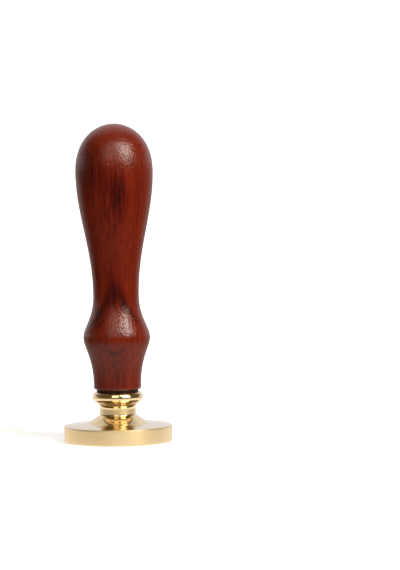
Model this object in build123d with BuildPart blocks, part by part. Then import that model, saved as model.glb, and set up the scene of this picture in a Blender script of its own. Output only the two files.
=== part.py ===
from build123d import *

import os
from math import acos, ceil, cos, degrees, radians, sin, sqrt, tan

# Wax seal stamp: a turned wooden handle that screws onto a turned brass head.
# The origin is the centre of the die face that the stamp stands on, and +Z runs up the handle.
# Sizes are in millimetres.

# Thread that joins the head to the handle
thread_diameter = 7.5
thread_pitch = 1.25
thread_clearance = 0.12  # between the flanks of the stud and of the tapped hole
flank_angle = 30.0  # half the angle of the thread's vee
root_overlap = 0.1  # how far a thread ridge is sunk into its core

# Brass head, turned from one bar
head_diameter = 30.4
head_height = 14.2
edge_height = 4.5  # straight outer edge of the disc
edge_chamfer = 0.2
neck_wall = 1.18  # brass left around the tapped hole
top_slope = 5.0  # the top of the disc falls to its edge
flare_slope = 36.0  # cone between the disc and the neck
flare_foot_diameter = 16.8
flare_fillet = 0.5  # at both ends of the cone
cove_radius = 2.0  # hollow between the neck and the bead
bead_overhang = 2.1  # how far the bead stands out from the neck
bead_radius = 1.6
tapped_depth = 8.7
mouth_land = 0.2  # how far the countersunk mouth reaches past the thread

# Engraving in the die face: a rosette of petals inside a ring and a rope border
engraving_depth = 0.7
line_width = 0.45
rim_width = 1.3  # plain land between the edge of the disc and the ring
rope_count = 48
rope_length = 1.5
rope_lean = 35.0
border_gap = 0.45  # plain land on either side of the rope border
petal_count = 8
petal_root = 2.7
petal_width = 4.2
vein_width = 0.35
vein_margin = 1.3
side_vein_length = 1.1
side_vein_angle = 38.0
side_vein_pairs = 3
eye_radius = 1.9
lozenge_size = 0.75

# Washer between the brass and the wood
washer_thickness = 0.5
washer_inset = 0.1  # the washer stops this far inside the flat end of the handle
washer_bore_clearance = 0.2

# Wooden handle: diameters and heights above its lower end, apart from the widest point of the bulb
handle_length = 74.9
foot_diameter = 13.3
foot_rounding = 0.7
bulge_diameter = 18.8
bulge_height = 14.7
waist_diameter = 12.9
waist_height = 26.6
bulb_diameter = 21.85
bulb_drop = 13.5  # from the top of the handle down to the widest point of the bulb
foot_pull = 8.5  # the pulls say how long each curve keeps its direction
bulge_pull_below = 3.0
bulge_pull_above = 3.0
waist_pull_below = 6.6
waist_pull_above = 13.5
bulb_pull_below = 12.1
bulb_pull_above = 9.9
dome_pull = 4.6

# Double-ended stud: machine thread below, coarse wood thread above
stud_reach = 8.0  # length that stands out of the handle
stud_chamfer = 0.6
shank_length = 2.0
shank_diameter = 6.6  # the plain part, as thick as the blank that the thread was rolled on
wood_thread_diameter = 7.0
wood_thread_depth = 1.0
wood_thread_pitch = 2.6
wood_thread_crest = 0.2
wood_thread_length = 18.0
point_length = 4.0
point_radius = 1.0
glue_gap = 0.08  # around the stud in the wood
bore_spare = 1.0  # the bore runs this far past the point of the stud

# Sizes that follow from those above
thread_depth = 0.5413 * thread_pitch  # the basic height of a 60 degree thread
thread_crest = thread_pitch / 8
head_radius = head_diameter / 2
tapped_radius = thread_diameter / 2 + thread_clearance
neck_radius = tapped_radius + neck_wall
bead_centre_radius = neck_radius + bead_overhang - bead_radius
bead_centre_height = head_height - bead_radius
handle_base = head_height + washer_thickness
handle_top = handle_base + handle_length
stud_end = handle_base - stud_reach
shank_top = handle_base + shank_length
stud_point = shank_top + wood_thread_length
foot_flat_radius = foot_diameter / 2 - foot_rounding


def threaded_rod(diameter, depth, pitch, crest, low, high, datum, grow=0.0):
    """A right-hand threaded rod between two heights, square at both ends.

    The ridge is a trapezoid in the axial plane carried along a helix, and crosses +X at the datum height.
    Rods with one datum and pitch therefore mesh, and grow moves every face of the rod outwards.
    """
    flank = tan(radians(flank_angle))
    crest_radius = diameter / 2 + grow
    core_radius = crest_radius - depth
    sunk_radius = core_radius - root_overlap
    crest_half = crest / 2 + grow * (1 / cos(radians(flank_angle)) - flank)
    sunk_half = crest_half + (crest_radius - sunk_radius) * flank
    start = datum - pitch * ceil((datum - low) / pitch + 1)
    turns = ceil((high - start) / pitch + 1)
    with BuildPart() as rod:
        with BuildLine() as ridge_path:
            Helix(pitch, turns * pitch, core_radius, center=(0, 0, start))
        with BuildSketch(Plane.XZ):
            with BuildLine():
                Polyline(
                    (sunk_radius, start - sunk_half),
                    (crest_radius, start - crest_half),
                    (crest_radius, start + crest_half),
                    (sunk_radius, start + sunk_half),
                    close=True,
                )
            make_face()
        sweep(path=ridge_path.line, is_frenet=True)
        with Locations((0, 0, start - pitch)):
            Cylinder(core_radius, (turns + 2) * pitch, align=(Align.CENTER, Align.CENTER, Align.MIN))
        with Locations((0, 0, low)):
            Cylinder(
                crest_radius + pitch,
                high - low,
                align=(Align.CENTER, Align.CENTER, Align.MIN),
                mode=Mode.INTERSECT,
            )
    return rod.part


machine_thread = (thread_diameter, thread_depth, thread_pitch, thread_crest)
wood_thread = (wood_thread_diameter, wood_thread_depth, wood_thread_pitch, wood_thread_crest)

os.makedirs("parts", exist_ok=True)

# Rosette in the plane of the die face: ring, rope border, petals with veins, lozenges and an eye
ring_radius = head_radius - rim_width
rope_radius = ring_radius - line_width - border_gap - rope_length * cos(radians(rope_lean)) / 2
petal_tip = rope_radius - rope_length * cos(radians(rope_lean)) / 2 - border_gap
petal_middle = (petal_root + petal_tip) / 2
vein_length = petal_tip - petal_root - 2 * vein_margin
side_vein_step = vein_length / (side_vein_pairs + 1)

with BuildSketch() as petal:
    with BuildLine():
        ThreePointArc((petal_root, 0), (petal_middle, petal_width / 2), (petal_tip, 0))
        ThreePointArc((petal_tip, 0), (petal_middle, -petal_width / 2), (petal_root, 0))
    make_face()
    offset(amount=-line_width, mode=Mode.SUBTRACT)
    with Locations((petal_middle, 0)):
        Rectangle(vein_length, vein_width)
    for pair in range(side_vein_pairs):
        along = petal_root + vein_margin + (pair + 1) * side_vein_step
        for side in (1, -1):
            lift = side * side_vein_length / 2 * tan(radians(side_vein_angle))
            with Locations((along + side_vein_length / 2, lift)):
                Rectangle(
                    side_vein_length / cos(radians(side_vein_angle)),
                    vein_width,
                    rotation=side * side_vein_angle,
                )

with BuildSketch() as rosette:
    Circle(ring_radius)
    Circle(ring_radius - line_width, mode=Mode.SUBTRACT)
    with PolarLocations(rope_radius, rope_count):
        Rectangle(rope_length, line_width, rotation=rope_lean)
    with PolarLocations(0, petal_count):
        add(petal.sketch)
    with PolarLocations(petal_tip - lozenge_size, petal_count, start_angle=180 / petal_count):
        RegularPolygon(lozenge_size, 4)
    Circle(eye_radius)
    Circle(eye_radius - line_width, mode=Mode.SUBTRACT)
    RegularPolygon(eye_radius - 2 * line_width, petal_count)

# Brass head: disc, coned flare, neck, cove and bead in one turned piece
cove_centre_radius = neck_radius + cove_radius
cove_reach = cove_radius + bead_radius
cove_side = cove_centre_radius - bead_centre_radius
cove_height = bead_centre_height - sqrt(cove_reach**2 - cove_side**2)
cove_sweep = degrees(acos(cove_side / cove_reach))
flare_sine = sin(radians(flare_slope))
flare_foot_radius = flare_foot_diameter / 2
flare_top_radius = neck_radius + flare_fillet * (1 - flare_sine)
flare_length = (flare_foot_radius - flare_top_radius) / cos(radians(flare_slope))
top_end_radius = flare_foot_radius + flare_fillet * (flare_sine - sin(radians(top_slope)))
top_rise = (head_radius - edge_chamfer - top_end_radius) * tan(radians(top_slope))
tap = threaded_rod(
    *machine_thread, head_height - tapped_depth, head_height + thread_pitch, handle_base, thread_clearance
)

with BuildPart() as stamp_head:
    with BuildSketch(Plane.XZ):
        with BuildLine():
            edge = Polyline(
                (0, 0),
                (head_radius - edge_chamfer, 0),
                (head_radius, edge_chamfer),
                (head_radius, edge_height - edge_chamfer),
                (head_radius - edge_chamfer, edge_height),
            )
            top = Line(edge @ 1, (top_end_radius, edge_height + top_rise))
            flare_foot = JernArc(top @ 1, top % 1, flare_fillet, top_slope - flare_slope)
            flare = PolarLine(flare_foot @ 1, flare_length, direction=flare_foot % 1)
            neck_foot = JernArc(flare @ 1, flare % 1, flare_fillet, flare_slope - 90)
            neck = Line(neck_foot @ 1, (neck_radius, cove_height))
            cove = JernArc(neck @ 1, (0, 1), cove_radius, -cove_sweep)
            bead = JernArc(cove @ 1, cove % 1, bead_radius, 90 + cove_sweep)
            Polyline(bead @ 1, (0, head_height), (0, 0))
        make_face()
    revolve(axis=Axis.Z)
    add(tap, mode=Mode.SUBTRACT)
    mouth_depth = thread_depth + mouth_land
    with Locations((0, 0, head_height - mouth_depth)):
        Cone(
            tapped_radius - thread_depth,
            tapped_radius + mouth_land,
            mouth_depth,
            align=(Align.CENTER, Align.CENTER, Align.MIN),
            mode=Mode.SUBTRACT,
        )
    add(rosette.sketch)
    extrude(amount=engraving_depth, mode=Mode.SUBTRACT)
stamp_head.part.label = "stamp_head"
export_step(stamp_head.part, "parts/stamp_head.step")

# Washer, clamped between the bead and the flat end of the handle
with BuildPart() as seating_washer:
    with BuildSketch(Plane.XY.offset(head_height)):
        Circle(foot_flat_radius - washer_inset)
        Circle(thread_diameter / 2 + washer_bore_clearance, mode=Mode.SUBTRACT)
    extrude(amount=washer_thickness)
seating_washer.part.label = "seating_washer"
export_step(seating_washer.part, "parts/seating_washer.step")

# Stud: the machine thread, a plain shank and a pointed wood thread on one rod
machine_end = threaded_rod(*machine_thread, stud_end, handle_base, handle_base)
wood_end = threaded_rod(*wood_thread, shank_top, stud_point, shank_top)

with BuildPart() as handle_stud:
    add(machine_end)
    add(wood_end)
    with BuildSketch(Plane.XY.offset(handle_base)):
        Circle(shank_diameter / 2)
    extrude(amount=shank_length)
    stud_envelope = max(thread_diameter, wood_thread_diameter, shank_diameter) / 2 + root_overlap
    with BuildSketch(Plane.XZ):
        with BuildLine():
            Polyline(
                (0, stud_end),
                (thread_diameter / 2 - stud_chamfer, stud_end),
                (stud_envelope, stud_end + stud_chamfer + root_overlap),
                (stud_envelope, stud_point - point_length),
                (point_radius, stud_point),
                (0, stud_point),
                close=True,
            )
        make_face()
    revolve(axis=Axis.Z, mode=Mode.INTERSECT)
handle_stud.part.label = "handle_stud"
export_step(handle_stud.part, "parts/handle_stud.step")

# Handle: foot, bulge, waist, bulb and dome as one turned outline, bored for the stud
foot_radius = foot_diameter / 2
foot_start = handle_base + foot_rounding
bulge_radius = bulge_diameter / 2
bulge_level = handle_base + bulge_height
waist_radius = waist_diameter / 2
waist_level = handle_base + waist_height
bulb_radius = bulb_diameter / 2
bulb_level = handle_top - bulb_drop
stud_bore = threaded_rod(*wood_thread, shank_top, stud_point + bore_spare, shank_top, glue_gap)

with BuildPart() as wooden_handle:
    with BuildSketch(Plane.XZ):
        with BuildLine():
            Line((0, handle_base), (foot_flat_radius, handle_base))
            TangentArc((foot_flat_radius, handle_base), (foot_radius, foot_start), tangent=(1, 0))
            Bezier(
                (foot_radius, foot_start),
                (foot_radius, foot_start + foot_pull),
                (bulge_radius, bulge_level - bulge_pull_below),
                (bulge_radius, bulge_level),
            )
            Bezier(
                (bulge_radius, bulge_level),
                (bulge_radius, bulge_level + bulge_pull_above),
                (waist_radius, waist_level - waist_pull_below),
                (waist_radius, waist_level),
            )
            Bezier(
                (waist_radius, waist_level),
                (waist_radius, waist_level + waist_pull_above),
                (bulb_radius, bulb_level - bulb_pull_below),
                (bulb_radius, bulb_level),
            )
            Bezier(
                (bulb_radius, bulb_level),
                (bulb_radius, bulb_level + bulb_pull_above),
                (dome_pull, handle_top),
                (0, handle_top),
            )
            Line((0, handle_top), (0, handle_base))
        make_face()
    revolve(axis=Axis.Z)
    add(stud_bore, mode=Mode.SUBTRACT)
    with BuildSketch(Plane.XY.offset(handle_base)):
        Circle(shank_diameter / 2 + glue_gap)
    extrude(amount=shank_length, mode=Mode.SUBTRACT)
wooden_handle.part.label = "wooden_handle"
export_step(wooden_handle.part, "parts/wooden_handle.step")
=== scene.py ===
"""Looks of a wax seal stamp: a lacquered wooden handle screwed onto a turned brass head.

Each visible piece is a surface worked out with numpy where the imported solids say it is: a profile carried
round the axis, screw threads as a function of turn and height, and a die face cut along its outlines.
Sizes are in millimetres until a mesh is made, and meshes are in metres.
"""

from functools import partial

import bmesh
import bpy
import numpy as np
from mathutils import Matrix, Vector
from mathutils.geometry import delaunay_2d_cdt


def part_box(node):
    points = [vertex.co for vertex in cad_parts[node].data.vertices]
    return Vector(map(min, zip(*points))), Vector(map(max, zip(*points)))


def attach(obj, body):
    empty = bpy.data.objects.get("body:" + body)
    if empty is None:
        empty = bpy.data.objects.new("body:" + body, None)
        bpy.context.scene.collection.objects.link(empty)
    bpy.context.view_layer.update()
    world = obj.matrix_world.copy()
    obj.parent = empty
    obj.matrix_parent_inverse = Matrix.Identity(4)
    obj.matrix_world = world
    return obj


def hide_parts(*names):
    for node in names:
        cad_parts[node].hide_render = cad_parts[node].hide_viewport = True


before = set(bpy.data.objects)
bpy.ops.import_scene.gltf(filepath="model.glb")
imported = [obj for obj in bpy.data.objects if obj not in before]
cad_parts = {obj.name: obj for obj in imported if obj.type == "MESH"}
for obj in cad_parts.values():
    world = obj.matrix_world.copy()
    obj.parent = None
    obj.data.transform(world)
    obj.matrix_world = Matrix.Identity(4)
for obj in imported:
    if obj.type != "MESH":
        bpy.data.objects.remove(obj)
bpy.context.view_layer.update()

MM = 0.001
SEGMENTS = 192  # columns round the axis of every turned piece
MERGE_DISTANCE = 1e-4  # points closer than this are one
SHORTEST_EDGE = 1e-5

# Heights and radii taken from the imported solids
head_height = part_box("stamp_head")[1].z / MM
head_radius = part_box("stamp_head")[1].x / MM
washer_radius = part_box("seating_washer")[1].x / MM
handle_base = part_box("wooden_handle")[0].z / MM
handle_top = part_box("wooden_handle")[1].z / MM
bulb_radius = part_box("wooden_handle")[1].x / MM
stud_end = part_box("handle_stud")[0].z / MM
stud_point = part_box("handle_stud")[1].z / MM

# Threads: crest diameter, depth, pitch, width of the crest and the height where the ridge crosses +X
FLANK_ANGLE = np.radians(30)
MACHINE_PITCH = 1.25
DEPTH_IN_PITCHES = 0.5413  # of a 60 degree thread
SHANK_LENGTH = 2.0
SHANK_RADIUS = 3.3
shank_top = handle_base + SHANK_LENGTH
machine_thread = {"diameter": 7.5, "depth": DEPTH_IN_PITCHES * MACHINE_PITCH, "pitch": MACHINE_PITCH,
                  "crest": MACHINE_PITCH / 8, "datum": handle_base}
wood_thread = {"diameter": 7.0, "depth": 1.0, "pitch": 2.6, "crest": 0.2, "datum": shank_top}

# Fits between the pieces, and the rounding of the disc's edges
THREAD_CLEARANCE = 0.12
WASHER_CLEARANCE = 0.2
GLUE_GAP = 0.08
BORE_SPARE = 1.0
EDGE_BREAK = 0.2


# Curves of the profiles, as arrays of radius and height


def line(start, end, count=2):
    """A straight stretch: start plus a growing share of the way to the end."""
    share = np.linspace(0, 1, count)[:, None]
    return (1 - share) * np.array(start) + share * np.array(end)


def arc(centre, radius, begin, end, count):
    """Part of a circle: the centre plus the radius turned from one angle to another, in degrees."""
    angle = np.radians(np.linspace(begin, end, count))[:, None]
    return np.array(centre) + radius * np.hstack([np.cos(angle), np.sin(angle)])


def hollow(start, radius, begin, end, count):
    """An arc that turns upwards on its way to the axis: its slope grows from one angle to another."""
    slope = np.radians(begin)
    centre = np.array(start) + radius * np.array((np.sin(slope), np.cos(slope)))
    return arc(centre, radius, -90 - begin, -90 - end, count)


def bezier(first, second, third, last, count):
    """A cubic curve: four points weighted by the Bernstein polynomials of the share run."""
    t = np.linspace(0, 1, count)[:, None]
    points = [np.array(p) for p in (first, second, third, last)]
    weights = [(1 - t) ** 3, 3 * t * (1 - t) ** 2, 3 * t**2 * (1 - t), t**3]
    return sum(w * p for w, p in zip(weights, points))


# Grids of radius and height, and the meshes made from them


def turned(profile):
    """Carries a profile round the axis: every column of the grid has the same radius and height."""
    radius = np.repeat(profile[:, :1], SEGMENTS, axis=1)
    height = np.repeat(profile[:, 1:], SEGMENTS, axis=1)
    return np.stack([radius, height])


def threaded(thread, heights, grow=0.0, limit=None):
    """A screw thread: the radius falls at 30 degree flanks with the distance from the ridge, along the axis.

    The ridge climbs one pitch a turn, so that distance is the height above the datum, in pitches, less the
    turn, folded to half a pitch either way. A limit holds the radius under a turned outline.
    """
    flank = np.tan(FLANK_ANGLE)
    turn = np.arange(SEGMENTS) / SEGMENTS
    height = np.repeat(np.asarray(heights, float)[:, None], SEGMENTS, axis=1)
    phase = (height - thread["datum"]) / thread["pitch"] - turn
    distance = np.abs((phase + 0.5) % 1 - 0.5) * thread["pitch"]
    crest = thread["diameter"] / 2 + grow
    crest_half = thread["crest"] / 2 + grow * (1 / np.cos(FLANK_ANGLE) - flank)
    radius = np.clip(crest - (distance - crest_half) / flank, crest - thread["depth"], crest)
    if limit is not None:
        radius = np.minimum(radius, np.asarray(limit)[:, None])
    return np.stack([radius, height])


def skin(grids):
    """Points and faces of stacked grids: column j of a row stands at its radius, turned j steps about +Z."""
    radius, height = np.concatenate(grids, axis=1)
    rows = len(radius)
    angle = 2 * np.pi * np.arange(SEGMENTS) / SEGMENTS
    points = np.stack([radius * np.cos(angle), radius * np.sin(angle), height], axis=-1)
    row, column = np.meshgrid(np.arange(rows - 1), np.arange(SEGMENTS), indexing="ij")
    beside = (column + 1) % SEGMENTS
    corners = [row * SEGMENTS + column, row * SEGMENTS + beside,
               (row + 1) * SEGMENTS + beside, (row + 1) * SEGMENTS + column]
    return points.reshape(-1, 3), np.stack(corners, axis=-1).reshape(-1, 4).tolist()


def piece(name, points, faces, materials, finishes=None, sharp=40.0):
    """A mesh object in metres. Points that fall together are merged, which closes seams and poles."""
    mesh = bpy.data.meshes.new(name)
    mesh.from_pydata(points * MM, [], faces)
    for material_made in materials:
        mesh.materials.append(material_made)
    if finishes is not None:
        mesh.polygons.foreach_set("material_index", finishes)
    work = bmesh.new()
    work.from_mesh(mesh)
    bmesh.ops.remove_doubles(work, verts=work.verts, dist=MERGE_DISTANCE * MM)
    bmesh.ops.dissolve_degenerate(work, edges=work.edges, dist=SHORTEST_EDGE * MM)
    work.to_mesh(mesh)
    work.free()
    mesh.polygons.foreach_set("use_smooth", np.ones(len(mesh.polygons), bool))
    mesh.set_sharp_from_angle(angle=np.radians(sharp))
    mesh.update()
    obj = bpy.data.objects.new(name, mesh)
    bpy.context.scene.collection.objects.link(obj)
    return obj


# Materials


def linear(code):
    """The linear colour of an sRGB hex value."""
    parts = np.array([int(code[i:i + 2], 16) for i in (1, 3, 5)]) / 255
    light = np.where(parts <= 0.04045, parts / 12.92, ((parts + 0.055) / 1.055) ** 2.4)
    return (*light, 1.0)


def node(tree, kind, inputs=None, stops=(), **settings):
    """Adds a node. An input is a value or a socket to link, and stops are a ramp's places and colours."""
    made = tree.nodes.new(kind)
    for key, value in settings.items():
        setattr(made, key, value)
    for key, value in (inputs or {}).items():
        if isinstance(value, bpy.types.NodeSocket):
            tree.links.new(value, made.inputs[key])
        else:
            made.inputs[key].default_value = value
    for i, (place, code) in enumerate(stops):
        elements = made.color_ramp.elements
        element = elements[i] if i < 2 else elements.new(place)
        element.position = place
        element.color = linear(code)
    return made


def material(name):
    """A new material, its node adder, its shader and the surface's own place in millimetres."""
    made = bpy.data.materials.new(name)
    made.use_nodes = True
    made.node_tree.nodes.clear()
    add = partial(node, made.node_tree)
    shader = add("ShaderNodeBsdfPrincipled")
    add("ShaderNodeOutputMaterial", {"Surface": shader.outputs["BSDF"]})
    place = add("ShaderNodeTexCoord").outputs["Object"]
    in_mm = add("ShaderNodeVectorMath", {0: place, "Scale": 1 / MM}, operation="SCALE")
    return made, add, shader, in_mm.outputs["Vector"]


def lacquered_rosewood():
    """Rosewood turned along the grain, sanded and sprayed with clear gloss lacquer.

    The eye sees red-brown wood with a dark growth layer almost facing it: the turning cuts through that layer
    as a streak on the bulb and as an arch above the bulge, and through an outer one as a curl below it. Fine
    lines and pores run along the grain, and pores that the lacquer didn't fill break up its highlights.
    """
    made, add, shader, place = material("lacquered_rosewood")
    link = made.node_tree.links.new

    # Sizes of the figure in millimetres: twice across the grain, and along it
    wander_size, wander_reach = np.array((9, 9, 40)), 0.6
    line_size = np.array((0.7, 0.7, 28))
    fibre_size = np.array((0.3, 0.3, 4))
    pore_size = np.array((0.3, 0.3, 1.6))
    speckle_size, speckle_depth = np.array((0.5, 0.5, 0.9)), 0.15

    # How much each lightens the wood, or darkens it
    base_tone, line_tone, fibre_tone, pore_tone, dark_tone = 0.23, 0.65, 0.3, -0.1, -0.65

    # The grain wanders along its length
    wander = add("ShaderNodeMapping", {"Vector": place, "Scale": 1 / wander_size})
    wander = add("ShaderNodeTexNoise", {"Vector": wander.outputs["Vector"], "Scale": 1.0, "Detail": 2.0})
    wander = add("ShaderNodeVectorMath", {0: wander.outputs["Color"], 1: (0.5, 0.5, 0.5)},
                 operation="SUBTRACT")
    grain = add("ShaderNodeVectorMath", {0: wander.outputs["Vector"], 1: (wander_reach,) * 3, 2: place},
                operation="MULTIPLY_ADD").outputs["Vector"]

    # Fine lines, fibres and pores along the grain
    lines = add("ShaderNodeMapping", {"Vector": grain, "Scale": 1 / line_size})
    lines = add("ShaderNodeTexNoise", {"Vector": lines.outputs["Vector"], "Scale": 1.0,
                                       "Detail": 2.0}).outputs["Fac"]
    fibres = add("ShaderNodeMapping", {"Vector": grain, "Scale": 1 / fibre_size})
    fibres = add("ShaderNodeTexNoise", {"Vector": fibres.outputs["Vector"], "Scale": 1.0, "Detail": 2.0,
                                        "Roughness": 0.6}).outputs["Fac"]
    pores = add("ShaderNodeMapping", {"Vector": grain, "Scale": 1 / pore_size})
    pores = add("ShaderNodeTexNoise", {"Vector": pores.outputs["Vector"], "Scale": 1.0, "Detail": 1.0})
    pores = add("ShaderNodeMapRange", {"Value": pores.outputs["Fac"], "From Min": 0.58, "From Max": 0.7})

    # Growth layers about a pith far behind, which lean towards the front at the foot and end in long fibres
    pith_behind, pith_right, lean = 65.6, 2.0, np.radians(-8.0)
    layers_from, layers_to, feather = 61.7, 70.7, 0.4
    across = add("ShaderNodeMapping", {"Vector": grain, "Location": (-pith_right, -pith_behind, 0),
                                       "Rotation": (lean, 0, 0)})
    across = add("ShaderNodeVectorMath", {0: across.outputs["Vector"], 1: (1, 1, 0)}, operation="MULTIPLY")
    depth = add("ShaderNodeVectorMath", {0: across.outputs["Vector"]}, operation="LENGTH")
    depth = add("ShaderNodeMath", {0: lines, 1: feather, 2: depth.outputs["Value"]}, operation="MULTIPLY_ADD")
    depth = add("ShaderNodeMapRange", {"Value": depth.outputs["Value"], "From Min": layers_from + feather / 2,
                                       "From Max": layers_to + feather / 2})
    middle_layer = add("ShaderNodeValToRGB", {"Fac": depth.outputs["Result"]}, [
        (0.4, "#000000"), (0.44, "#A0A0A0"), (0.46, "#E8E8E8"), (0.5, "#FFFFFF"), (0.54, "#C0C0C0"),
        (0.58, "#707070"), (0.66, "#000000")])
    outer_layer = add("ShaderNodeValToRGB", {"Fac": depth.outputs["Result"]}, [
        (0.17, "#000000"), (0.24, "#606060"), (0.32, "#000000"),
        (0.86, "#000000"), (0.9, "#606060"), (0.935, "#606060"), (0.97, "#000000")])
    curl = add("ShaderNodeValToRGB", {"Fac": depth.outputs["Result"]}, [
        (0.94, "#000000"), (0.956, "#D0D0D0"), (0.966, "#D0D0D0"), (0.98, "#000000")])
    height = add("ShaderNodeSeparateXYZ", {"Vector": grain})
    height = add("ShaderNodeMapRange", {"Value": height.outputs["Z"], "From Min": handle_base,
                                        "From Max": handle_top})
    shown = add("ShaderNodeValToRGB", {"Fac": height.outputs["Result"]}, [
        (0.22, "#000000"), (0.31, "#FFFFFF"), (0.44, "#FFFFFF"), (0.52, "#909090"), (0.62, "#707070"),
        (0.74, "#A0A0A0"), (0.84, "#000000")])
    under_bulge = add("ShaderNodeMapRange", {"Value": height.outputs["Result"], "From Min": 0.175,
                                             "From Max": 0.15})
    middle_layer = add("ShaderNodeMath", {0: middle_layer.outputs["Color"], 1: shown.outputs["Color"]},
                       operation="MULTIPLY").outputs["Value"]
    dark = add("ShaderNodeMath", {0: curl.outputs["Color"], 1: under_bulge.outputs["Result"],
                                  2: middle_layer}, operation="MULTIPLY_ADD").outputs["Value"]
    dark = add("ShaderNodeMath", {0: outer_layer.outputs["Color"], 1: dark}, operation="ADD").outputs["Value"]

    # Darker patches on the bulb's left front, the bulb's front, the left front above the bulge and the foot's
    # front: centre, half sizes and weight
    for centre, halves, weight in (
        (np.array((-6.5, -8.0, 77.0)), np.array((7.5, 8.0, 12.0)), 0.6),
        (np.array((0.8, -10.8, 71.0)), np.array((3.4, 5.0, 11.0)), 0.7),
        (np.array((-6.0, -6.5, 35.0)), np.array((5.0, 5.0, 6.5)), 0.6),
        (np.array((1.0, -7.5, 20.0)), np.array((3.5, 5.0, 6.0)), 0.35),
    ):
        patch = add("ShaderNodeMapping", {"Vector": grain, "Location": -centre / halves, "Scale": 1 / halves})
        patch = add("ShaderNodeVectorMath", {0: patch.outputs["Vector"]}, operation="LENGTH")
        patch = add("ShaderNodeMapRange", {"Value": patch.outputs["Value"], "From Min": 1.0, "From Max": 0.0},
                    interpolation_type="SMOOTHSTEP")
        dark = add("ShaderNodeMath", {0: patch.outputs["Result"], 1: weight, 2: dark},
                   operation="MULTIPLY_ADD").outputs["Value"]

    # One tone from all of them, with the dark wood in streaks
    streaks = add("ShaderNodeMapRange", {"Value": lines, "From Min": 0.35, "From Max": 0.65, "To Min": 1.3,
                                         "To Max": 0.7})
    dark = add("ShaderNodeMath", {0: dark, 1: streaks.outputs["Result"]},
               operation="MULTIPLY").outputs["Value"]
    tone = add("ShaderNodeMath", {0: lines, 1: line_tone, 2: base_tone},
               operation="MULTIPLY_ADD").outputs["Value"]
    for part, weight in ((fibres, fibre_tone), (pores.outputs["Result"], pore_tone), (dark, dark_tone)):
        tone = add("ShaderNodeMath", {0: part, 1: weight, 2: tone}, operation="MULTIPLY_ADD").outputs["Value"]
    colour = add("ShaderNodeValToRGB", {"Fac": tone},
                 [(0.0, "#2E0A08"), (0.42, "#4B1008"), (0.72, "#621B0A"), (1.0, "#76260F")])

    # Pores that the lacquer didn't fill
    speckle = add("ShaderNodeMapping", {"Vector": grain, "Scale": 1 / speckle_size})
    speckle = add("ShaderNodeTexNoise", {"Vector": speckle.outputs["Vector"], "Scale": 1.0, "Detail": 2.0,
                                         "Roughness": 0.6})
    bump = add("ShaderNodeBump", {"Height": speckle.outputs["Fac"], "Strength": 1.0,
                                  "Distance": speckle_depth * MM})

    shader.inputs["Roughness"].default_value = 0.5
    shader.inputs["Specular IOR Level"].default_value = 0.0  # the lacquer wets the wood
    shader.inputs["Coat Weight"].default_value = 0.7
    shader.inputs["Coat Roughness"].default_value = 0.12
    shader.inputs["Coat IOR"].default_value = 1.52
    link(colour.outputs["Color"], shader.inputs["Base Color"])
    link(bump.outputs["Normal"], shader.inputs["Coat Normal"])
    return made


def brass(name, roughness, stretch, line_width, line_depth, lines_on):
    """Yellow brass, turned on a lathe: a warm mirror that fine tool lines round the axis make satin.

    The lines are waves of height or of radius, so they follow the turned surface. Lines that are too fine to
    show one by one stretch the reflections across them.
    """
    made, add, shader, place = material(name)
    link = made.node_tree.links.new
    patch_size = 9.0
    patches = add("ShaderNodeMapping", {"Vector": place, "Scale": (1 / patch_size,) * 3})
    patches = add("ShaderNodeTexNoise", {"Vector": patches.outputs["Vector"], "Scale": 1.0, "Detail": 3.0})
    colour = add("ShaderNodeValToRGB", {"Fac": patches.outputs["Fac"]}, [(0.3, "#EACF9F"), (0.7, "#F2DCB0")])
    parts = add("ShaderNodeSeparateXYZ", {"Vector": place})
    flat = add("ShaderNodeVectorMath", {0: place, 1: (1.0, 1.0, 0.0)}, operation="MULTIPLY")
    radius = add("ShaderNodeVectorMath", {0: flat.outputs["Vector"]}, operation="LENGTH")
    along = {"height": parts.outputs["Z"], "radius": radius.outputs["Value"]}[lines_on]
    steps = add("ShaderNodeMath", {0: along, 1: line_width}, operation="DIVIDE")
    lines = add("ShaderNodeTexNoise", {"W": steps.outputs["Value"], "Scale": 1.0, "Detail": 2.0},
                noise_dimensions="1D")
    bump = add("ShaderNodeBump", {"Height": lines.outputs["Fac"], "Strength": 1.0,
                                  "Distance": line_depth * MM})
    round_axis = add("ShaderNodeTangent", direction_type="RADIAL", axis="Z")
    shader.inputs["Metallic"].default_value = 1.0
    shader.inputs["Specular Tint"].default_value = linear("#F1F1FC")  # duller and paler at a grazing angle
    shader.inputs["Roughness"].default_value = roughness
    shader.inputs["Anisotropic"].default_value = stretch
    shader.inputs["Anisotropic Rotation"].default_value = 0.25  # across the lines
    link(colour.outputs["Color"], shader.inputs["Base Color"])
    link(bump.outputs["Normal"], shader.inputs["Normal"])
    link(round_axis.outputs["Tangent"], shader.inputs["Tangent"])
    return made


def plated_steel():
    """Zinc-plated steel with rolled threads: a cool grey metal, dulled by the plating's fine crystals."""
    made, add, shader, place = material("zinc_plated_steel")
    crystal_size = 0.5  # coarser than the real ones, to show
    crystals = add("ShaderNodeMapping", {"Vector": place, "Scale": (1 / crystal_size,) * 3})
    crystals = add("ShaderNodeTexNoise", {"Vector": crystals.outputs["Vector"], "Scale": 1.0, "Detail": 3.0})
    colour = add("ShaderNodeValToRGB", {"Fac": crystals.outputs["Fac"]}, [(0.3, "#9FA2A6"), (0.7, "#C3C5C8")])
    shader.inputs["Metallic"].default_value = 1.0
    shader.inputs["Roughness"].default_value = 0.32
    made.node_tree.links.new(colour.outputs["Color"], shader.inputs["Base Color"])
    return made


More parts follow.
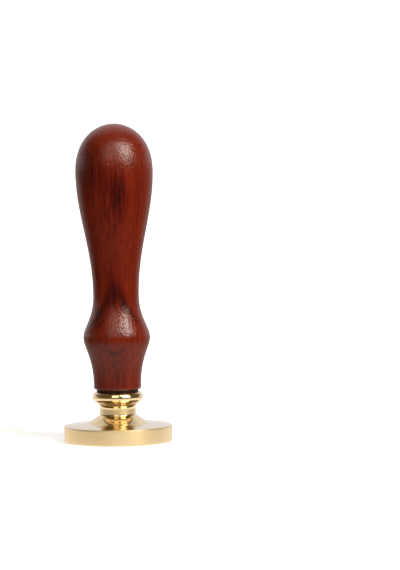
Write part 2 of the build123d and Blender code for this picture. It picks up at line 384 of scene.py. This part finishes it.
def black_rubber_and_shadow_line():
    """Rubber sheet, die-cut: near-black and matt, with a fine grit. Its near-black is also painted shade: the
    shadow line in the crevice between the wood and the brass.
    """
    made, add, shader, place = material("black_rubber_and_shadow_line")
    link = made.node_tree.links.new
    grit_size, grit_depth = 0.3, 0.03
    grit = add("ShaderNodeMapping", {"Vector": place, "Scale": (1 / grit_size,) * 3})
    grit = add("ShaderNodeTexNoise", {"Vector": grit.outputs["Vector"], "Scale": 1.0, "Detail": 2.0})
    colour = add("ShaderNodeValToRGB", {"Fac": grit.outputs["Fac"]}, [(0.3, "#0E0A08"), (0.7, "#1C1613")])
    bump = add("ShaderNodeBump", {"Height": grit.outputs["Fac"], "Strength": 0.4,
                                  "Distance": grit_depth * MM})
    shader.inputs["Roughness"].default_value = 0.7
    link(colour.outputs["Color"], shader.inputs["Base Color"])
    link(bump.outputs["Normal"], shader.inputs["Normal"])
    return made


rosewood = lacquered_rosewood()
polished_brass = brass("polished_brass", roughness=0.13, stretch=0.3, line_width=0.3, line_depth=0.0006,
                       lines_on="height")
turned_edge = brass("turned_brass_edge", roughness=0.42, stretch=0.4, line_width=0.3, line_depth=0.0025,
                    lines_on="height")
turned_face = brass("turned_brass_face", roughness=0.13, stretch=0.3, line_width=0.3, line_depth=0.0006,
                    lines_on="radius")
engraved_brass = brass("engraved_brass", roughness=0.3, stretch=0.0, line_width=0.25, line_depth=0.002,
                       lines_on="radius")
steel = plated_steel()
# near-black rubber, which also paints the shadow line between the wood and the brass
rubber = black_rubber_and_shadow_line()


# Pieces


def wooden_handle():
    """Foot, bulge, waist, bulb and dome as one profile of cubic curves, bored from below for the stud."""
    foot_radius, foot_rounding, foot_pull = 6.65, 0.7, 8.5
    bulge_radius, bulge_height, bulge_pull = 9.4, 14.7, 3.0
    waist_radius, waist_height, waist_pull_below, waist_pull_above = 6.45, 26.6, 6.6, 13.5
    bulb_drop, bulb_pull_below, bulb_pull_above, dome_pull = 13.5, 12.1, 9.9, 4.6
    foot_start = handle_base + foot_rounding
    bulge = handle_base + bulge_height
    waist = handle_base + waist_height
    bulb = handle_top - bulb_drop
    foot_flat = foot_radius - foot_rounding
    bore_end = stud_point + BORE_SPARE
    row_step = 0.13
    bore_steps = np.arange(shank_top, bore_end, row_step)[::-1]
    shank_bore = SHANK_RADIUS + GLUE_GAP
    outside = np.concatenate([
        line((shank_bore, handle_base), (foot_flat, handle_base), 8),
        arc((foot_flat, foot_start), foot_rounding, -90, 0, 10),
        bezier((foot_radius, foot_start), (foot_radius, foot_start + foot_pull),
               (bulge_radius, bulge - bulge_pull), (bulge_radius, bulge), 36),
        bezier((bulge_radius, bulge), (bulge_radius, bulge + bulge_pull),
               (waist_radius, waist - waist_pull_below), (waist_radius, waist), 36),
        bezier((waist_radius, waist), (waist_radius, waist + waist_pull_above),
               (bulb_radius, bulb - bulb_pull_below), (bulb_radius, bulb), 48),
        bezier((bulb_radius, bulb), (bulb_radius, bulb + bulb_pull_above),
               (dome_pull, handle_top), (0, handle_top), 40),
    ])
    grids = [
        turned(np.array([(0, bore_end)])),
        threaded(wood_thread, bore_steps, GLUE_GAP),
        turned(line((shank_bore, shank_top), (shank_bore, handle_base), 4)),
        turned(outside),
    ]
    return piece("turned_handle", *skin(grids), [rosewood])


def handle_stud():
    """A machine thread, a plain shank and a pointed wood thread on one rod."""
    machine_row_step, wood_row_step = 0.05, 0.1
    chamfer, point_length, point_radius = 0.6, 4.0, 1.0
    cone_spare = 0.1  # the point's cone opens this far past the crest
    machine_steps = np.arange(stud_end, handle_base, machine_row_step)
    wood_steps = np.arange(shank_top, stud_point, wood_row_step)
    machine_limit = machine_thread["diameter"] / 2 - chamfer + (machine_steps - stud_end)
    slope = (wood_thread["diameter"] / 2 + cone_spare - point_radius) / point_length
    wood_limit = point_radius + slope * (stud_point - wood_steps)
    grids = [
        turned(np.array([(0, stud_end)])),
        threaded(machine_thread, machine_steps, limit=machine_limit),
        turned(line((SHANK_RADIUS, handle_base), (SHANK_RADIUS, shank_top), 6)),
        threaded(wood_thread, wood_steps, limit=wood_limit),
        turned(np.array([(point_radius, stud_point), (0, stud_point)])),
    ]
    return piece("screw_stud", *skin(grids), [steel], sharp=70.0)


def seating_washer():
    """A flat ring with slightly rounded edges, between the brass and the wood. Its black also paints the
    shadow line of the crevice between them.
    """
    edge = 0.12
    inner = machine_thread["diameter"] / 2 + WASHER_CLEARANCE
    outer = washer_radius
    low, high = head_height, handle_base
    profile = np.concatenate([
        line((inner, low), (outer - edge, low), 6),
        arc((outer - edge, low + edge), edge, -90, 0, 5),
        arc((outer - edge, high - edge), edge, 0, 90, 5),
        line((outer - edge, high), (inner, high), 6),
        line((inner, high), (inner, low), 3),
    ])
    return piece("black_washer_and_shadow_line", *skin([turned(profile)]), [rubber])


def ring(radius, count):
    """Points evenly round a circle about the axis."""
    angle = 2 * np.pi * np.arange(count) / count
    return radius * np.stack([np.cos(angle), np.sin(angle)], axis=-1)


def spin(angle):
    """The matrix that turns points, written as rows, by an angle in degrees."""
    turn = np.radians(angle)
    return np.array([(np.cos(turn), np.sin(turn)), (-np.sin(turn), np.cos(turn))])


def bar(length, width, centre, lean):
    """The corners of a rectangle about its centre, leaning by an angle in degrees from +X."""
    corners = np.array([(-length, -width), (length, -width), (length, width), (-length, width)]) / 2
    return corners @ spin(lean) + np.array(centre)


def leaf(root, tip, width, inset):
    """A pointed oval: two arcs through the root, half the width and the tip, moved inwards by the inset."""
    arc_points = 16
    half, rise = (tip - root) / 2, width / 2
    bend = (half**2 + rise**2) / (2 * rise)
    radius = bend - inset
    sweep = np.degrees(np.arccos((bend - rise) / radius))
    upper = arc((half + root, rise - bend), radius, 90 - sweep, 90 + sweep, arc_points)
    lower = arc((half + root, bend - rise), radius, -90 - sweep, -90 + sweep, arc_points)
    return np.concatenate([upper[:-1], lower[:-1]])


def die_face(face_radius, first):
    """The engraved face: a rosette of petals with veins, inside a rope border and a ring, cut to one depth.

    A band is cut between an outer and an inner outline, and a groove is cut all over. The disc is divided
    into triangles along every outline. A triangle inside an odd number of band outlines, or inside a groove,
    is lifted to the depth as the floor of a pocket, and a wall stands on each edge around the pockets. The
    faces count their points from the first number, and the last array marks those of the pockets.
    """
    depth, cut_width, rim_width = 0.7, 0.45, 1.3
    rope_count, rope_length, rope_lean, border_gap = 48, 1.5, 35.0, 0.45
    petal_count, petal_root, petal_width = 8, 2.7, 4.2
    vein_width, vein_margin = 0.35, 1.3
    side_vein_length, side_vein_angle, side_vein_pairs = 1.1, 38.0, 3
    eye_radius, eye_segments, lozenge_size = 1.9, 64, 0.75
    same_point = 1e-6

    ring_radius = head_radius - rim_width
    rope_half = rope_length * np.cos(np.radians(rope_lean)) / 2
    rope_radius = ring_radius - cut_width - border_gap - rope_half
    petal_tip = rope_radius - rope_half - border_gap
    vein_length = petal_tip - petal_root - 2 * vein_margin
    vein_step = vein_length / (side_vein_pairs + 1)
    slant = np.radians(side_vein_angle)
    petals = [leaf(petal_root, petal_tip, petal_width, inset) for inset in (0.0, cut_width)]
    veins = [bar(vein_length, vein_width, ((petal_root + petal_tip) / 2, 0), 0)]
    for pair in range(side_vein_pairs):
        along = petal_root + vein_margin + (pair + 1) * vein_step + side_vein_length / 2
        lift = side_vein_length / 2 * np.tan(slant)
        for side in (1, -1):
            veins.append(bar(side_vein_length / np.cos(slant), vein_width, (along, side * lift),
                             side * side_vein_angle))
    lozenge = ring(lozenge_size, 4) + np.array((petal_tip - lozenge_size, 0))
    rope = bar(rope_length, cut_width, (rope_radius, 0), rope_lean)

    sector = 360 / petal_count
    bands = [ring(ring_radius, SEGMENTS), ring(ring_radius - cut_width, SEGMENTS),
             ring(eye_radius, eye_segments), ring(eye_radius - cut_width, eye_segments)]
    bands += [outline @ spin(i * sector) for i in range(petal_count) for outline in petals]
    grooves = [ring(eye_radius - 2 * cut_width, petal_count)]
    grooves += [outline @ spin(i * sector) for i in range(petal_count) for outline in veins]
    grooves += [lozenge @ spin((i + 0.5) * sector) for i in range(petal_count)]
    grooves += [rope @ spin(i * 360 / rope_count) for i in range(rope_count)]

    outlines = [ring(face_radius, SEGMENTS), *bands, *grooves]
    starts = np.cumsum([len(outline) for outline in outlines])
    loops = [loop.tolist() for loop in np.split(np.arange(starts[-1]), starts[:-1])]
    corners = [Vector(corner) for corner in np.concatenate(outlines)]
    flat, _, triangles, _, _, owners = delaunay_2d_cdt(corners, [], loops, 0, same_point)
    flat, triangles = np.array(flat), np.array(triangles)
    first_groove = 1 + len(bands)
    in_bands = np.array([sum(0 < k < first_groove for k in owner) for owner in owners])
    in_groove = np.array([max(owner) >= first_groove for owner in owners])
    sunk = (in_bands % 2 == 1) | in_groove

    count = len(flat)
    land = triangles[~sunk][:, ::-1]
    floors = triangles[sunk]
    edges = np.concatenate([floors[:, [0, 1]], floors[:, [1, 2]], floors[:, [2, 0]]])
    border = edges[~np.isin(edges @ (count, 1), edges @ (1, count))]
    walls = np.stack([border[:, 1], border[:, 0], border[:, 0] + count, border[:, 1] + count], axis=1)
    floors = floors[:, ::-1] + count
    points = np.concatenate([np.c_[flat, np.zeros(count)], np.c_[flat, np.full(count, depth)]])
    named = np.concatenate([land.ravel(), floors.ravel(), walls.ravel()])
    used, where = np.unique(named, return_inverse=True)
    land, floors, walls = np.split(where + first, np.cumsum([land.size, floors.size]))
    faces = land.reshape(-1, 3).tolist() + floors.reshape(-1, 3).tolist() + walls.reshape(-1, 4).tolist()
    return points[used], faces, np.arange(len(faces)) >= len(land) // 3


def stamp_head():
    """Disc, coned flare, neck, cove and bead, with the tapped hole in the top and the die face below."""
    edge_height = 4.5
    top_slope, flare_slope, flare_foot, flare_fillet, neck_radius = 5.0, 36.0, 8.4, 0.5, 5.05
    cove_radius, bead_overhang, bead_radius = 2.0, 2.1, 1.6
    tapped_depth, mouth_land, row_step = 8.7, 0.2, 0.1
    bead_centre = np.array((neck_radius + bead_overhang - bead_radius, head_height - bead_radius))
    cove_reach = cove_radius + bead_radius
    cove_side = neck_radius + cove_radius - bead_centre[0]
    cove_drop = np.sqrt(cove_reach**2 - cove_side**2)
    cove_centre = np.array((neck_radius + cove_radius, bead_centre[1] - cove_drop))
    cove_turn = np.degrees(np.arccos(cove_side / cove_reach))
    rim = np.array((head_radius - EDGE_BREAK, edge_height))
    top_sine, flare_sine = np.sin(np.radians([top_slope, flare_slope]))
    top_fall, flare_fall = np.tan(np.radians([top_slope, flare_slope]))
    top_end = flare_foot + flare_fillet * (flare_sine - top_sine)
    flare_top = neck_radius + flare_fillet * (1 - flare_sine)
    top = line(rim, (top_end, edge_height + (rim[0] - top_end) * top_fall), 12)
    foot = hollow(top[-1], flare_fillet, top_slope, flare_slope, 10)
    flare = line(foot[-1], (flare_top, foot[-1][1] + (flare_foot - flare_top) * flare_fall), 16)
    fillet = hollow(flare[-1], flare_fillet, flare_slope, 90.0, 10)
    tapped_radius = machine_thread["diameter"] / 2 + THREAD_CLEARANCE
    core_radius = tapped_radius - machine_thread["depth"]
    hole_bottom = head_height - tapped_depth
    mouth_depth = machine_thread["depth"] + mouth_land
    hole_steps = np.arange(hole_bottom, head_height - mouth_depth, row_step)[::-1]
    mouth_steps = np.linspace(head_height - mouth_depth, head_height, 10)[::-1]
    mouth = threaded(machine_thread, mouth_steps, THREAD_CLEARANCE)
    cone = core_radius + (mouth_steps - mouth_steps[-1])
    mouth[0] = np.maximum(mouth[0], cone[:, None])

    edge = np.concatenate([
        arc((rim[0], EDGE_BREAK), EDGE_BREAK, -90, 0, 6),
        line((head_radius, EDGE_BREAK), (head_radius, edge_height - EDGE_BREAK), 8),
        arc((rim[0], edge_height - EDGE_BREAK), EDGE_BREAK, 0, 90, 6),
    ])
    flare = np.concatenate([top, foot, flare, fillet])
    neck = line(fillet[-1], (neck_radius, cove_centre[1]), 8)
    bead = np.concatenate([
        arc(cove_centre, cove_radius, 180, 180 - cove_turn, 20),
        arc(bead_centre, bead_radius, -cove_turn, 90, 48),
        line((bead_centre[0], head_height), (tapped_radius + mouth_land, head_height), 4),
    ])
    grids = [turned(edge), turned(flare), turned(neck), turned(bead), mouth,
             threaded(machine_thread, hole_steps, THREAD_CLEARANCE), turned(np.array([(0, hole_bottom)]))]
    materials = [turned_edge, turned_face, polished_brass, engraved_brass]
    edge_finish, face_finish, bead_finish, engraved_finish = range(len(materials))
    finish_of_grid = [edge_finish, face_finish, edge_finish] + [bead_finish] * 4
    faces_of_grid = [grid.shape[1] * SEGMENTS for grid in grids]
    points, faces = skin(grids)
    finishes = np.repeat(finish_of_grid, faces_of_grid)[:len(faces)]
    die_points, die_faces, engraved = die_face(rim[0], len(points))
    points = np.concatenate([points, die_points])
    finishes = np.concatenate([finishes, np.where(engraved, engraved_finish, face_finish)])
    return piece("brass_head", points, faces + die_faces, materials, finishes)


handle = wooden_handle()
stud = handle_stud()
washer = seating_washer()
head = stamp_head()

for obj, body, cad_node, slot in (
    (handle, "handle", "wooden_handle", "handle_wood"),
    (stud, "handle", "handle_stud", "stud_steel"),
    # the washer's black rubber also paints the shadow line between the wood and the brass
    (washer, "washer", "seating_washer", "washer_rubber"),
    (head, "head", "stamp_head", "head_brass"),
):
    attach(obj, body)
    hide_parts(cad_node)


# Stage: pale floor, studio surroundings, softboxes and the camera

WARM_WHITE = "#FFF8EC"
ROOM_BROWN = "#FFDF98"  # brown when it is as dim as the room


def floor():
    """A large round floor that keeps the stamp's shadow and fades to white for the camera.

    Mirrors see it pale round the stamp's foot and in a wedge behind the stamp, and dark elsewhere. It is
    clear from below and open under the die face, so that the engraving shows from there.
    """
    overlap = 0.05  # of the floor under the rim of the die face
    radius = np.array([4000.0, 600.0, 200.0, head_radius - EDGE_BREAK - overlap])
    dark_level, wedge_level, pale_level = 0.03, 0.65, 0.8
    wedge_tip = (10 * MM, 0.0, 0.0)
    made = bpy.data.materials.new("white_floor")
    made.use_nodes = True
    made.cycles.emission_sampling = "NONE"
    made.node_tree.nodes.clear()
    add = partial(node, made.node_tree)
    place = add("ShaderNodeTexCoord").outputs["Object"]
    distance = add("ShaderNodeVectorMath", {0: place}, operation="LENGTH")
    path = add("ShaderNodeLightPath")
    fill = add("ShaderNodeMapRange", {"Value": distance.outputs["Value"], "From Min": 60 * MM,
                                      "From Max": 350 * MM, "To Min": 0.45, "To Max": 1.0})
    fill = add("ShaderNodeMath", {0: fill.outputs["Result"], 1: path.outputs["Is Camera Ray"]},
               operation="MULTIPLY")
    paint = add("ShaderNodeBsdfDiffuse", {"Color": linear("#D0D0D0")})
    glow = add("ShaderNodeEmission", {"Strength": fill.outputs["Value"]})
    lit = add("ShaderNodeAddShader", {0: paint.outputs["BSDF"], 1: glow.outputs["Emission"]})
    way = add("ShaderNodeVectorMath", {0: place, 1: wedge_tip}, operation="SUBTRACT")
    way = add("ShaderNodeVectorMath", {0: way.outputs["Vector"]}, operation="NORMALIZE")
    way = add("ShaderNodeSeparateXYZ", {"Vector": way.outputs["Vector"]})
    wedge = add("ShaderNodeMapRange", {"Value": way.outputs["Y"], "From Min": 0.4, "From Max": 0.8,
                                       "To Min": dark_level, "To Max": wedge_level},
                interpolation_type="SMOOTHSTEP")
    near = add("ShaderNodeMapRange", {"Value": distance.outputs["Value"], "From Min": 140 * MM,
                                      "From Max": 20 * MM, "To Min": dark_level, "To Max": pale_level},
               interpolation_type="SMOOTHSTEP")
    sheet = add("ShaderNodeMath", {0: wedge.outputs["Result"], 1: near.outputs["Result"]},
                operation="MAXIMUM")
    mirrored = add("ShaderNodeEmission", {"Strength": sheet.outputs["Value"], "Color": linear(WARM_WHITE)})
    total = add("ShaderNodeMixShader", {0: path.outputs["Is Glossy Ray"], 1: lit.outputs["Shader"],
                                        2: mirrored.outputs["Emission"]})
    clear = add("ShaderNodeBsdfTransparent")
    below = add("ShaderNodeNewGeometry").outputs["Backfacing"]
    total = add("ShaderNodeMixShader", {0: below, 1: total.outputs["Shader"], 2: clear.outputs["BSDF"]})
    add("ShaderNodeOutputMaterial", {"Surface": total.outputs["Shader"]})
    profile = np.stack([radius, np.zeros_like(radius)], axis=1)
    obj = piece("floor", *skin([turned(profile)]), [made])
    return obj


def surroundings():
    """A white studio behind the stamp, dim in its upper corners, and a dark, warm room on the camera's side.

    The camera sees only white, mirrors see both, and matt surfaces are lit evenly from all round.
    """
    matt_level, room_level, studio_level, corner_level = 0.18, 0.12, 0.95, 0.2
    room_turn = np.radians(6.5)
    room_side = (np.sin(room_turn), -np.cos(room_turn), 0)
    world = bpy.data.worlds.new("studio")
    bpy.context.scene.world = world
    world.use_nodes = True
    world.cycles.sampling_method = "NONE"
    world.node_tree.nodes.clear()
    add = partial(node, world.node_tree)
    way = add("ShaderNodeTexCoord").outputs["Generated"]
    path = add("ShaderNodeLightPath")
    toward_room = add("ShaderNodeVectorMath", {0: way, 1: room_side}, operation="DOT_PRODUCT")
    parts = add("ShaderNodeSeparateXYZ", {"Vector": way})
    aside = add("ShaderNodeMath", {0: parts.outputs["X"], 1: parts.outputs["X"]}, operation="MULTIPLY")
    corner = add("ShaderNodeMath", {0: aside.outputs["Value"], 1: parts.outputs["Z"]}, operation="MULTIPLY")
    studio = add("ShaderNodeMapRange", {"Value": corner.outputs["Value"], "From Min": 0.08, "From Max": 0.22,
                                        "To Min": studio_level, "To Max": corner_level},
                 interpolation_type="SMOOTHSTEP")
    behind = add("ShaderNodeMapRange", {"Value": toward_room.outputs["Value"], "From Min": -0.05,
                                        "From Max": -0.6}, interpolation_type="SMOOTHSTEP")
    room = add("ShaderNodeBackground", {"Strength": room_level, "Color": linear(ROOM_BROWN)})
    studio = add("ShaderNodeBackground", {"Strength": studio.outputs["Result"], "Color": linear("#FFFFFF")})
    mirrored = add("ShaderNodeMixShader", {0: behind.outputs["Result"], 1: room.outputs["Background"],
                                           2: studio.outputs["Background"]})
    even = add("ShaderNodeMath", {0: matt_level, 1: path.outputs["Is Camera Ray"]}, operation="MAXIMUM")
    even = add("ShaderNodeBackground", {"Strength": even.outputs["Value"], "Color": linear("#FFFFFF")})
    total = add("ShaderNodeMixShader", {0: path.outputs["Is Glossy Ray"], 1: even.outputs["Background"],
                                        2: mirrored.outputs["Shader"]})
    add("ShaderNodeOutputWorld", {"Surface": total.outputs["Shader"]})


def light_only(lamp, lit):
    """Lets a lamp light only the objects in a list."""
    group = bpy.data.collections.new("lit_by_" + lamp.name)
    for obj in lit:
        group.objects.link(obj)
    lamp.light_linking.receiver_collection = group


def softbox(name, lit, azimuth, elevation, distance, width, height, radiance, mirrored=True):
    """A rectangular lamp that faces the stamp. Azimuth 0 is the camera's side, and positive is to its right.

    Radiance is how bright the lamp looks in a mirror, where 1 is white. One that isn't mirrored only fills.
    """
    aim = np.array((0.0, 0.0, 50.0))
    turn, rise = np.radians(azimuth), np.radians(elevation)
    way = np.array((np.sin(turn) * np.cos(rise), -np.cos(turn) * np.cos(rise), np.sin(rise)))
    lamp = bpy.data.lights.new(name, "AREA")
    lamp.shape = "RECTANGLE"
    lamp.size = width * MM
    lamp.size_y = height * MM
    lamp.energy = radiance * np.pi * lamp.size * lamp.size_y
    lamp.color = linear(WARM_WHITE)[:3]
    obj = bpy.data.objects.new(name, lamp)
    obj.location = Vector(aim + distance * way) * MM
    obj.rotation_euler = Vector(way).to_track_quat("Z", "Y").to_euler()
    obj.visible_camera = False
    obj.visible_glossy = mirrored
    bpy.context.scene.collection.objects.link(obj)
    light_only(obj, lit)


def floor_glow(lit_piece, radius, radiance):
    """A round lamp on the floor that only one piece sees, as polished metal shows a white table."""
    lift = 0.02  # just clear of the floor
    lamp = bpy.data.lights.new("floor_glow", "AREA")
    lamp.shape = "DISK"
    lamp.size = 2 * radius * MM
    lamp.energy = radiance * np.pi * np.pi * (radius * MM) ** 2
    obj = bpy.data.objects.new("floor_glow", lamp)
    obj.location = (0, 0, lift * MM)
    obj.rotation_euler = (np.pi, 0, 0)
    obj.visible_camera = False
    bpy.context.scene.collection.objects.link(obj)
    light_only(obj, [lit_piece])


def camera():
    """A long lens at the photograph's angle: it looks 5 degrees down and is rolled by one degree."""
    frame_width = 400
    pixels_per_mm = 3.556
    axis_pixel = 115.85  # where the stamp's axis crosses the middle row of the picture
    aim_height = 44.1
    distance = 2500.0
    elevation = np.radians(5.1)
    roll = np.radians(0.9)
    forward = np.array((0, np.cos(elevation), -np.sin(elevation)))
    level_up = np.array((0, np.sin(elevation), np.cos(elevation)))
    level_right = np.array((1.0, 0, 0))
    right = level_right * np.cos(roll) - level_up * np.sin(roll)
    up = level_up * np.cos(roll) + level_right * np.sin(roll)
    aim = np.array((0, 0, aim_height)) + right * (frame_width / 2 - axis_pixel) / pixels_per_mm
    data = bpy.data.cameras.new("camera")
    data.sensor_fit = "HORIZONTAL"
    data.sensor_width = 36.0
    data.lens = data.sensor_width * pixels_per_mm * distance / frame_width
    data.clip_start = 0.01
    data.clip_end = 50.0
    obj = bpy.data.objects.new("camera", data)
    turn = Matrix((right, up, -forward)).transposed()
    obj.matrix_world = Matrix.Translation(Vector(aim - forward * distance) * MM) @ turn.to_4x4()
    bpy.context.scene.collection.objects.link(obj)
    bpy.context.scene.camera = obj


# The bright middle of the right softbox leaves out the brass, which would mirror it too strongly
table = floor()
surroundings()
not_brass = [handle, stud, washer, table]
everything = [*not_brass, head]
softbox("softbox_right", everything, azimuth=44.0, elevation=38.0, distance=900.0,
        width=570.0, height=820.0, radiance=4.7)
softbox("softbox_right_middle", not_brass, azimuth=44.0, elevation=39.5, distance=880.0,
        width=230.0, height=370.0, radiance=16.0)
softbox("softbox_left", everything, azimuth=-12.0, elevation=40.0, distance=900.0,
        width=450.0, height=740.0, radiance=2.0)
softbox("softbox_behind", everything, azimuth=200.0, elevation=45.0, distance=900.0,
        width=700.0, height=700.0, radiance=3.0, mirrored=False)
floor_glow(head, radius=400.0, radiance=0.42)
camera()
bpy.context.scene.view_settings.view_transform = "Standard"
